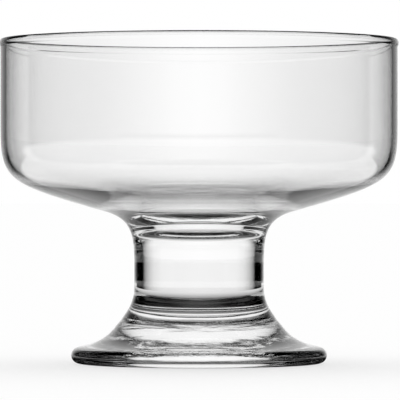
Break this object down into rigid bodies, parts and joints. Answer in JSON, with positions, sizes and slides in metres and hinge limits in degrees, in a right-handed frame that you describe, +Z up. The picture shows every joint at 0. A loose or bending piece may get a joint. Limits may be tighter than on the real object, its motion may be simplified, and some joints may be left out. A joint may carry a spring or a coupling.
{
  "type": "footed ice cream cup",
  "caption": "Clear pressed-glass ice cream cup: a wide bowl with a beaded rim and a central well, on a thick solid stem and a flared round foot.",
  "frame": {"origin": "on the table, at the centre of the ring that the foot stands on", "axes": "+Z up along the axis that the cup is turned about; +X and +Y lie in the table's plane"},
  "size_m": [0.102, 0.102, 0.0829],
  "materials": {
    "clear_glass": "clear, fire-polished, stippled under the foot"
  },
  "bodies": {
    "root": {"cup": "clear_glass"}
  },
  "joints": []
}
